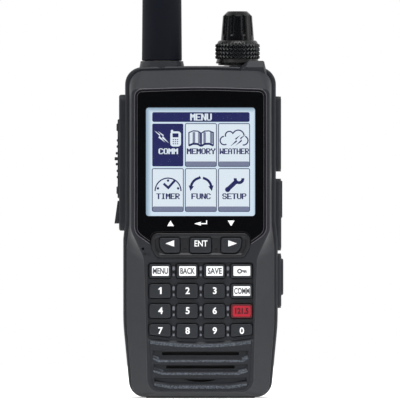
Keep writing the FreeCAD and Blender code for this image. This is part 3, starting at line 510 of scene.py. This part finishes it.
def sheet(name, loops, y0, y1, body, finish, bevel=0.0):
    """Slab from y0 to y1 of an outline with optional holes, with rounded edges."""
    curve = bpy.data.curves.new(name, "CURVE")
    curve.dimensions = "2D"
    curve.fill_mode = "BOTH"
    curve.extrude = (y1 - y0) / 2 - bevel
    curve.bevel_depth = bevel
    curve.bevel_resolution = 3
    curve.offset = -bevel
    for loop in loops:
        spline = curve.splines.new("POLY")
        spline.points.add(len(loop) - 1)
        spline.use_cyclic_u = True
        for point, (x, z) in zip(spline.points, loop):
            point.co = (x, z, 0, 1)
    holder = bpy.data.objects.new(name, curve)
    bpy.context.scene.collection.objects.link(holder)
    bpy.context.view_layer.update()
    mesh = bpy.data.meshes.new_from_object(holder.evaluated_get(bpy.context.evaluated_depsgraph_get()))
    bpy.data.objects.remove(holder)
    bpy.data.curves.remove(curve)
    bm = bmesh.new()
    bm.from_mesh(mesh)
    bpy.data.meshes.remove(mesh)
    bmesh.ops.remove_doubles(bm, verts=bm.verts, dist=1e-4)
    turn = Matrix.Translation((0, (y0 + y1) / 2, 0)) @ Matrix.Rotation(math.pi / 2, 4, "X")
    bmesh.ops.transform(bm, matrix=turn, verts=bm.verts)
    return add_mesh(name, bm, body, finish, smooth=10)


def bead(name, points, y, radius, body, finish, closed=True):
    """Thin round moulding along a line of points."""
    bm = bmesh.new()
    around = 8
    spots = [Vector((x, y, z)) for x, z in points]
    n = len(spots)
    rings = []
    for i, p in enumerate(spots):
        before = spots[i - 1] if (i or closed) else p
        after = spots[(i + 1) % n] if (i < n - 1 or closed) else p
        along = (after - before).normalized()
        side = along.cross(Vector((0, 1, 0))).normalized()
        ring = []
        for s in range(around):
            a = 2 * math.pi * s / around
            out = side * (radius * math.cos(a)) + Vector((0, radius * math.sin(a), 0))
            ring.append(bm.verts.new(p + out))
        rings.append(ring)
    for i in range(n if closed else n - 1):
        a, b = rings[i], rings[(i + 1) % n]
        for s in range(around):
            bm.faces.new((a[s], a[(s + 1) % around], b[(s + 1) % around], b[s]))
    bmesh.ops.recalc_face_normals(bm, faces=bm.faces)
    return add_mesh(name, bm, body, finish, smooth=80)


# ---------------------------------------------------------------- display
def lens_outline():
    """Outline of the display window, notched round the soft-key bezel."""
    right = [(25.6, 123.4, 2.2), (25.6, 66.9, 4.2), (20.1, 62.95, 0.4), (20.1, 66.8, 3.0)]
    left = [(-x, z, r) for x, z, r in reversed(right)]
    return rounded([(0, 124.3, 300)] + right + left, 8)


def display_glass():
    """Black-bordered window: an opaque border with a clear pane set in it."""
    hole = panel(-SCREEN_X, SCREEN_X, SCREEN_LOW, SCREEN_HIGH, 1.1)
    loops = [lens_outline(), hole]
    border = sheet("lens_border", loops, Y_LENS, LENS_HIGH.y, "radio", "lens", bevel=0.25)
    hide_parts("display_window")
    gap = 0.02
    pane = panel(-SCREEN_X + gap, SCREEN_X - gap, SCREEN_LOW + gap, SCREEN_HIGH - gap, 1.1)
    sheet("lens_pane", [pane], Y_LENS + 0.05, Y_LENS + 0.65, "radio", "pane")


LAYER = 0.05            # between one layer of the display's graphics and the next
TILE_X = (-13.15, 0.15, 13.5)       # middles of the menu's tiles
TILE_Z = (101.9, 83.8)
TILE_W, TILE_H = 12.5, 17.2
ICON_RISE = 2.7         # an icon sits this far above its tile's middle
WORD_DROP = 2.5         # and its word this far below
WORD_HIGH = 2.3


def bolt(x, z, way=1):
    """Lightning bolt, pointing down to the right, or to the left where way is -1."""
    spots = [(-2.2, 2.3), (0.2, 0.7), (-0.3, 0.1), (2.2, -2.5), (-0.6, -0.5), (-0.1, 0.2)]
    return [(x + way * px, z + pz) for px, pz in spots]


def handset_icon(x, z):
    """Small radio with two bolts beside it: light shapes, then the dark ones on top."""
    light = [panel(x + 0.9, x + 5.2, z - 3.2, z + 2.9, 1.2), panel(x + 1.1, x + 2.1, z + 2.4, z + 3.5, 0.4)]
    light += [bolt(x - 1.9, z + 0.7), bolt(x - 3.3, z + 0.9)]
    dark = [panel(x + 1.8, x + 4.2, z + 0.5, z + 2.1, 0.25)]
    for row in range(3):
        for column in range(3):
            left, low = x + 1.9 + 0.85 * column, z - 0.6 - 0.85 * row
            dark.append(panel(left, left + 0.5, low, low + 0.4, 0.1))
    return light, dark


def book_icon(x, z):
    """Open book."""
    lines = []
    for side in (-1, 1):
        top = [(0.1, 2.1), (1.4, 2.9), (3.2, 3.0), (4.9, 2.3)]
        low = [(4.9, -2.7), (3.2, -2.0), (1.4, -2.1), (0.1, -2.9)]
        leaf = [(x + side * px, z + pz) for px, pz in top + low]
        lines += ribbon(leaf, 0.45, closed=True)
        lines += ribbon([(px, pz - 0.35) for px, pz in leaf[4:]], 0.5)
    return lines


def book_shades(x, z):
    """Grey leaves of the book."""
    return [panel(x + left, x + left + 1.0, z - 2.1, z + 2.5, 0.2) for left in (-3.4, -1.2, 0.9, 3.6)]


def cloud_icon(x, z):
    """Cloud with two bolts."""
    lines = []
    for cx, cz, r, start, end in ((-4.0, -0.9, 1.7, 95, 300), (-2.0, 1.2, 1.6, 20, 200),
                                  (1.6, 1.0, 2.3, 5, 150), (3.7, -0.9, 1.8, -100, 70)):
        lines += ribbon(circle(x + cx, z + cz, r, start, end, 14), 0.48)
    return lines + [bolt(x + 0.5, z - 0.8, -1), bolt(x + 2.5, z - 0.6, -1)]


def clock_icon(x, z):
    """Upper half of a clock face with a bent hand."""
    low = z - 3.1
    lines = ribbon(circle(x, low, 5.2, 0, 180, 28), 0.5)
    for angle in (15, 90, 165):
        a = math.radians(angle)
        lines.append(circle(x + 4.2 * math.cos(a), low + 4.2 * math.sin(a), 0.5, steps=10))
    return lines + ribbon([(x - 1.8, z - 0.1), (x + 0.1, z - 1.8), (x + 2.7, z + 1.1)], 0.95)


def turning_icon(x, z):
    """Two curved arrows that chase each other over the top of a circle."""
    low = z - 1.9
    lines = ribbon(circle(x, low, 4.1, 12, 80, 12), 1.0)
    lines += ribbon(circle(x, low, 4.1, 100, 168, 12), 1.0)
    for side in (-1, 1):
        tip = (x + side * 4.3, low - 1.2)
        lines.append([tip, (x + side * 5.0, low + 1.1), (x + side * 2.9, low + 0.7)][::side])
    return lines + [[(x - 1.6, low + 3.4), (x + 0.1, low + 3.9), (x - 0.7, low + 5.0)]]


def spanner_icon(x, z):
    """Open-ended spanner."""
    lines = ribbon([(x - 2.6, z - 2.4), (x + 1.0, z + 1.0)], 1.7)
    lines += ribbon(circle(x + 1.9, z + 1.8, 1.55, -190, 10, 14)[::-1], 1.2)
    return lines + [circle(x - 2.7, z - 2.5, 1.05, steps=14)]


# Five columns by seven rows, from the top; only the letters that the menu uses
DOT_LETTERS = {
    "A": "01110 10001 10001 11111 10001 10001 10001", "C": "01110 10001 10000 10000 10000 10001 01110",
    "E": "11111 10000 10000 11110 10000 10000 11111", "F": "11111 10000 10000 11110 10000 10000 10000",
    "H": "10001 10001 10001 11111 10001 10001 10001", "I": "01110 00100 00100 00100 00100 00100 01110",
    "M": "10001 11011 11011 10101 10001 10001 10001", "N": "10001 11001 11001 10101 10011 10011 10001",
    "O": "01110 10001 10001 10001 10001 10001 01110", "P": "11110 10001 10001 11110 10000 10000 10000",
    "R": "11110 10001 10001 11110 10100 10010 10001", "S": "01110 10001 10000 01110 00001 10001 01110",
    "T": "11111 00100 00100 00100 00100 00100 00100", "U": "10001 10001 10001 10001 10001 10001 01110",
    "W": "10001 10001 10001 10101 11011 11011 10001", "Y": "10001 10001 01010 00100 00100 00100 00100",
}


def dot_word(word, x, z, height, width):
    """Word in the display's dot letters: one face for each run of dots in a row, stems a little heavy."""
    across, up = width / (6 * len(word) - 1), height / 7
    heavy = 0.4 * across
    faces = []
    for place, letter in enumerate(word):
        for row, dots in enumerate(DOT_LETTERS[letter].split()):
            high = z + height / 2 - row * up
            column = 0
            while column < 5:
                run = len(dots[column:]) - len(dots[column:].lstrip("1"))
                if run:
                    left = x - width / 2 + (6 * place + column) * across - heavy
                    right = left + run * across + 2 * heavy
                    faces.append([(left, high), (right, high), (right, high - up), (left, high - up)])
                column += max(1, run)
    return faces


def display_menu():
    """Lit menu page: header bar and six tiles, each with an icon and a word."""
    y = Y_LCD - LAYER
    printed("menu_header", [panel(-19.4, 19.75, 111.2, 115.1, 0.7)], y, "radio", "navy")
    cells = [(tx, tz) for tz in TILE_Z for tx in TILE_X]
    tiles, rims, bands = [], [], []
    for i, (x, z) in enumerate(cells):
        edge = panel(x - TILE_W / 2, x + TILE_W / 2, z - TILE_H / 2, z + TILE_H / 2, 0.6)
        if i:
            tiles.append(edge)
            rims += ribbon(edge, 0.32, closed=True)
            left, right, low = x - TILE_W / 2 + 0.15, x + TILE_W / 2 - 0.15, z - TILE_H / 2
            bands.append(panel(left, right, low + 0.15, low + 2.0, 0.5))
        else:
            chosen = edge
    printed("menu_tiles", tiles, y, "radio", "pale")
    printed("menu_chosen_tile", [chosen], y, "radio", "navy")
    printed("menu_tile_bands", bands, y - LAYER, "radio", "band")
    printed("menu_tile_rims", rims, y - 2 * LAYER, "radio", "line")
    words = [("MEMORY", 11.3), ("WEATHER", 11.6), ("TIMER", 9.2), ("FUNC", 7.6), ("SETUP", 9.5)]
    dark = []
    for (word, width), (x, z) in zip(words, cells[1:]):
        dark += dot_word(word, x + 0.1, z - WORD_DROP, WORD_HIGH, width)
    icons = [book_icon, cloud_icon, clock_icon, turning_icon, spanner_icon]
    for icon, (x, z) in zip(icons, cells[1:]):
        dark += icon(x + 0.1, z + ICON_RISE)
    leaves = book_shades(cells[1][0] + 0.1, cells[1][1] + ICON_RISE)
    printed("menu_book_leaves", leaves, y - LAYER, "radio", "band")
    printed("menu_icons_and_words", dark, y - 3 * LAYER, "radio", "navy")
    x, z = cells[0]
    light, small = handset_icon(x + 0.1, z + 2.6)
    light += dot_word("COMM", x + 0.2, z - WORD_DROP, WORD_HIGH, 7.6)
    light += dot_word("MENU", 0.2, 113.15, 2.8, 8.4)
    printed("menu_light_graphics", light, y - 3 * LAYER, "radio", "pale")
    printed("menu_handset_keys", small, y - 4 * LAYER, "radio", "navy")


def window_prints():
    """Up, enter and down marks on the window's border."""
    z = 70.4
    marks = [[(-13.4, z - 1.1), (-10.7, z - 1.1), (-12.05, z + 1.15)]]
    marks += [[(10.95, z + 1.15), (13.65, z + 1.15), (12.3, z - 1.1)]]
    marks += [[(-2.5, z - 0.1), (0.2, z + 0.7), (0.2, z - 0.9)]]
    marks += ribbon([(0.0, z - 0.1), (2.45, z - 0.1), (2.45, z + 1.2)], 0.4)
    printed("window_marks", marks, Y_LENS - PRINT, "radio", "white")


# ---------------------------------------------------------------- keys
def legend(key, faces, finish, y, layer=0):
    """Ink on a key's face at depth y, and one layer further out for ink on ink."""
    name = "legend_" + key + ("_" + str(layer) if layer else "")
    printed(name, faces, y - PRINT * (1 + layer), frame["nodes"][key]["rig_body"], finish)


KEY_ROW_4 = 27.1        # height of the bottom row's digits
DIGIT_HIGH = 2.75
SIDE, RISE = 0.18, 0.22  # the print's small shift from the middle of its key
LABELS = {
    "key_menu": ("MENU", 6.1), "key_back": ("BACK", 5.9),
    "key_save": ("SAVE", 5.7), "key_comm": ("COMM", 6.3),
}


def key_symbol(x, z):
    """Outline of a door key."""
    lines = ribbon(circle(x - 0.75, z, 0.75, steps=14), 0.5, closed=True)
    lines += ribbon([(x, z + 0.1), (x + 2.05, z + 0.1)], 0.55)
    for spot in (1.1, 1.85):
        lines += ribbon([(x + spot, z + 0.1), (x + spot, z - 0.75)], 0.45)
    return lines


def digit_faces(text, x, z, height, weight):
    """Number, with a flag on its ones."""
    if text != "1":
        return letters(text, x, z, height, weight=weight)
    h = height / 2
    return [[(x - 0.8, z + h * 0.55), (x - 0.05, z + h), (x + 0.45, z + h), (x + 0.45, z - h),
             (x - 0.2, z - h), (x - 0.2, z + h * 0.4), (x - 0.8, z + h * 0.2)]]


def key_legends():
    """White digits, white label plates with dark words, and the red key's number."""
    for digit in range(10):
        key = "key_" + str(digit)
        x, z = middle(key)
        lift = KEY_ROW_4 - z if digit in (7, 8, 9, 0) else 0.0
        faces = digit_faces(str(digit), x + SIDE, z + lift + RISE, DIGIT_HIGH, 0.022)
        legend(key, faces, "white", KEY_FACE)
    for key in list(LABELS) + ["key_lock"]:
        x, z = middle(key)
        legend(key, [panel(x - 3.2, x + 3.5, z - 1.85, z + 1.98, 0.25)], "white", KEY_FACE)
        if key in LABELS:
            word, width = LABELS[key]
            legend(key, letters(word, x + SIDE, z + 0.1, 2.5, width, 0.03), "dark ink", KEY_FACE, 1)
        else:
            legend(key, key_symbol(x, z), "dark ink", KEY_FACE, 1)
    x, z = middle("key_emergency")
    legend("key_emergency", [panel(x - 3.45, x + 3.65, z - 2.15, z + 2.15, 0.7)], "red", KEY_FACE)
    number = letters("121.5", x + 0.15, z + 0.1, 2.5, 5.4, 0.05)
    legend("key_emergency", number, "deep red ink", KEY_FACE, 1)
    soft_z = middle("key_enter")[1] + 0.75
    for key, tip, x in (("key_left", -1, -12.3), ("key_right", 1, 12.85)):
        arrow = [(x + tip * 1.8, soft_z), (x - tip * 1.7, soft_z + 1.25), (x - tip * 1.7, soft_z - 1.25)]
        legend(key, [arrow], "white", SOFT_FACE)
    legend("key_enter", letters("ENT", 0.2, soft_z, 2.45, 5.2, 0.012), "white", SOFT_FACE)


# ---------------------------------------------------------------- dial
def knurled_dial():
    """Dial ring with four zigzag ridges, in place of the plain turned one."""
    low, high = node_box("dial_ring")
    cx, cy = (low.x + high.x) / 2, (low.y + high.y) / 2
    peak, valley = (high.x - low.x) / 2, (high.x - low.x) / 2 - 0.75
    start = low.z + 12.65       # foot of the lowest ridge
    pitch, rows, waves = 1.58, 4, 34
    around, up = waves * 10, rows * 8
    skirt = [(3.2, -2.4), (7.8, -2.4), (7.8, -1.75), (8.6, -1.65), (8.75, -1.4), (8.35, -0.15)]
    profile = [(r, start + dz) for r, dz in skirt]
    crown = [(7.75, 7.3), (7.25, 7.6), (7.05, 7.6), (7.0, 6.8), (1.8, 6.75)]
    cap = [(r, start + dz) for r, dz in crown]
    bm = bmesh.new()
    columns = []
    for i in range(around):
        a = 2 * math.pi * i / around
        wave = abs((i / around * waves) % 1 * 2 - 1) * 2 - 1
        line = list(profile)
        for j in range(up + 1):
            z = start + rows * pitch * j / up
            phase = ((z - start) / pitch + 0.24 * wave) % 1
            ridge = max(0.0, 1 - abs(phase * 2 - 1) * 1.2) ** 0.85
            fade = min(1.0, j / 2, (up - j) / 2)
            line.append((valley + (peak - valley) * ridge * fade, z))
        line += cap
        columns.append([bm.verts.new((cx + r * math.cos(a), cy + r * math.sin(a), z)) for r, z in line])
    for i in range(around):
        a, b = columns[i], columns[(i + 1) % around]
        for j in range(len(a) - 1):
            bm.faces.new((a[j], b[j], b[j + 1], a[j + 1]))
    dial = add_mesh("knurled_dial", bm, "dial", "dial", smooth=40)
    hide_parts("dial_ring")


# ---------------------------------------------------------------- body details
def window_surround():
    """Thin lines painted light round the display window's edge and along the raised bead moulded round it:
    a painted highlight.
    """
    edge = [(25.45, 123.25, 2.1), (25.45, 66.95, 4.1), (20.3, 63.2, 0.4)]
    moulding = [(26.5, 124.3, 3.0), (26.5, 66.5, 4.8), (20.3, 62.1, 0.5)]
    rings = (("window_edge_highlight", edge, Y_LENS + 0.05, 0.1), ("window_bead_highlight", moulding, Y_FACE, 0.17))
    for name, corners, y, radius in rings:
        left = [(-x, z, r) for x, z, r in reversed(corners)]
        outline = rounded([(0, corners[0][1] + 0.85, 300)] + corners + left, 10)
        start = min(range(len(outline)), key=lambda i: (outline[i][1], outline[i][0]))
        line = [p for p in outline[start:] + outline[:start] if abs(p[0]) > 20.4 or p[1] > 100]
        bead(name, line, y, radius, "radio", "rim", closed=False)


def keypad_nibs():
    """Caps painted lighter on the small dots between the key columns: a painted highlight."""
    rows = [middle(key)[1] for key in ("key_menu", "key_1", "key_4")] + [KEY_ROW_4]
    columns = [middle(key)[0] for key in ("key_1", "key_2", "key_3", "key_comm")]
    for i, z in enumerate(rows):
        for j, x in enumerate((columns[k] + columns[k + 1]) / 2 for k in range(3)):
            name = "nib_" + str(i) + "_" + str(j)
            high = panel(x - 0.5, x + 0.5, z + 0.3, z + 1.9, 0.4)
            low = panel(x - 0.4, x + 0.4, z - 2.0, z - 1.0, 0.3)
            sheet(name + "_high", [high], -16.95, -16.75, "radio", "nib", 0.06)
            sheet(name + "_low", [low], -16.5, -16.35, "radio", "nib", 0.05)


def slope_strip(bm, low_line, high_line):
    """Quads between two lines of (x, y, z) points, lifted a little off the surface."""
    lift = Vector((0, -0.02, 0.02))
    a = [bm.verts.new(Vector(p) + lift) for p in low_line]
    b = [bm.verts.new(Vector(p) + lift) for p in high_line]
    for i in range(len(a) - 1):
        bm.faces.new((a[i], a[i + 1], b[i + 1], b[i]))


def textured_ledges():
    """Lighter coarse grain below the keypad and along the lower lip of each louvre: a painted highlight on
    the upward-facing ledges, which the lamps do not reach.
    """
    y_back = -15.3
    rows = ((19.2, 16.9, 15.4, 0.85), (18.9, 15.1, 10.3, 0.9), (18.6, 12.3, 5.1, 1.2))
    bm = bmesh.new()
    for wide, flat, low, drop in rows:
        front = [(-wide, Y_PANEL, low + 0.95), (-flat, Y_PANEL, low + 0.1), (flat, Y_PANEL, low + 0.1),
                 (wide, Y_PANEL, low + 0.95)]
        back = [(x * 0.985, y_back, z + (1.25 if abs(x) == wide else 1.0)) for x, y, z in front]
        slope_strip(bm, front[:2], back[:2])
        slope_strip(bm, front[2:], back[2:])
        under = [(x, y, z - (drop - 0.35 if abs(x) == wide else drop)) for x, y, z in front]
        slope_strip(bm, under, front)
    add_mesh("louvre_ledge_highlights", bm, "radio", "ledge")
    bm = bmesh.new()
    xs = [-20.2 + 40.4 * i / 24 for i in range(25)]
    arc = [ARCH_LOW + ARCH_R - math.sqrt(ARCH_R ** 2 - x * x) for x in xs]
    foot = [(x, Y_PANEL, z - 2.4) for x, z in zip(xs, arc)]
    slope_strip(bm, foot, [(x, -15.85, z - 1.75) for x, z in zip(xs, arc)])
    slope_strip(bm, [(x, y, z - 1.25) for x, y, z in foot], foot)
    add_mesh("arch_ledge_highlight", bm, "radio", "ledge")


def battery_seal():
    """Thin foam strips between the radio's back and its battery."""
    y1 = node_box("battery_case")[0].y - 0.06
    strips = []
    for x in (-25.5, 25.5):
        strips.append(rounded([(x - 1, 8, 0.8), (x + 1, 8, 0.8), (x + 1, 66, 0.8), (x - 1, 66, 0.8)]))
    for i, strip in enumerate(strips):
        sheet("battery_seal_" + str(i + 1), [strip], y1 - 0.1, y1, "radio", "knob")


def microphone_mark():
    """Small dark word under the microphone's hole."""
    faces = letters("MIC", -21.5, 58.1, 1.1, 2.9, 0.01)
    printed("microphone_mark", faces, Y_FACE - PRINT, "radio", "black ink")


def battery_label():
    """Blank recessed-look rating plate on the back of the pack."""
    back = node_box("battery_case")[1].y
    plate = panel(-17, 17, 24.5, 38.5, 1.2)
    sheet("battery_label", [plate], back - 0.02, back + 0.08, "battery", "label", bevel=0.03)


# ---------------------------------------------------------------- setting
def area_light(name, place, size, power):
    """Soft rectangular light that faces the radio."""
    data = bpy.data.lights.new(name, "AREA")
    data.shape = "RECTANGLE"
    data.size, data.size_y = size
    data.energy = power
    obj = bpy.data.objects.new(name, data)
    obj.location = place
    aim = Vector((0, 0, 0.09)) - Vector(place)
    obj.rotation_euler = aim.to_track_quat("-Z", "Y").to_euler()
    bpy.context.scene.collection.objects.link(obj)


def pale_floor():
    """Round white floor, as stage only."""
    bm = bmesh.new()
    bmesh.ops.create_circle(bm, cap_ends=True, radius=0.7, segments=96)
    mesh = bpy.data.meshes.new("floor")
    bm.to_mesh(mesh)
    bm.free()
    obj = bpy.data.objects.new("floor", mesh)
    bpy.context.scene.collection.objects.link(obj)
    f = Finish("pale floor")
    f.set(Roughness=0.9, Specular_IOR_Level=0.0)
    f.set(Emission_Color=(1.0, 1.0, 1.0, 1.0), Emission_Strength=0.45)
    f.mix(f.noise(300, 2), [0.93, 0.93, 0.93, 1.0], [0.95, 0.95, 0.95, 1.0])
    obj.data.materials.append(f.material)


def studio():
    """White room, dim on the viewer's side and bright above, with soft lights above and at the sides."""
    world = bpy.data.worlds.new("studio")
    bpy.context.scene.world = world
    world.use_nodes = True
    nodes, links = world.node_tree.nodes, world.node_tree.links
    coords = nodes.new("ShaderNodeTexCoord")
    split = nodes.new("ShaderNodeSeparateXYZ")
    links.new(coords.outputs["Generated"], split.inputs[0])
    levels = []
    for axis, start, end, dim in (("Y", -0.5, 0.1, 0.1), ("Z", 0.25, 0.8, 0.1)):
        level = nodes.new("ShaderNodeMapRange")
        level.inputs["From Min"].default_value = start
        level.inputs["From Max"].default_value = end
        level.inputs["To Min"].default_value = dim
        level.inputs["To Max"].default_value = 1.0
        links.new(split.outputs[axis], level.inputs["Value"])
        levels.append(level.outputs["Result"])
    brighter = nodes.new("ShaderNodeMath")
    brighter.operation = "MAXIMUM"
    links.new(levels[0], brighter.inputs[0])
    links.new(levels[1], brighter.inputs[1])
    nodes["Background"].inputs["Color"].default_value = (1.0, 1.0, 1.0, 1.0)
    links.new(brighter.outputs[0], nodes["Background"].inputs["Strength"])
    area_light("key", (-0.75, -0.8, 0.9), (0.6, 0.6), 1.5)
    area_light("top", (0.05, -0.5, 1.2), (0.9, 0.4), 11)
    area_light("strip", (0.8, -0.9, 0.25), (0.06, 0.8), 1.2)
    area_light("side_left", (-0.95, -0.1, 0.3), (0.3, 0.9), 1.2)
    area_light("side_right", (0.95, -0.1, 0.3), (0.3, 0.9), 1.8)
    bpy.context.scene.view_settings.view_transform = "Standard"


FRAME_WIDTH = 160.7     # width of the view at the radio's front face
LENS_MM = 800           # far away, so the view is nearly parallel
SENSOR_MM = 36


def front_camera():
    """Long lens, square on to the front, level with the middle of the frame."""
    data = bpy.data.cameras.new("camera")
    data.lens = LENS_MM
    data.sensor_width = SENSOR_MM
    away = FRAME_WIDTH * LENS_MM / SENSOR_MM
    obj = bpy.data.objects.new("camera", data)
    obj.location = Vector((-0.2, Y_FACE - away, 79.8)) * MM
    obj.rotation_euler = (math.pi / 2, 0, 0)
    data.clip_start, data.clip_end = 0.05, 50
    bpy.context.scene.collection.objects.link(obj)
    bpy.context.scene.camera = obj


finish_cad_nodes()
display_glass()
display_menu()
window_prints()
key_legends()
knurled_dial()
window_surround()
keypad_nibs()
textured_ledges()
battery_seal()
microphone_mark()
battery_label()
pale_floor()
studio()
front_camera()
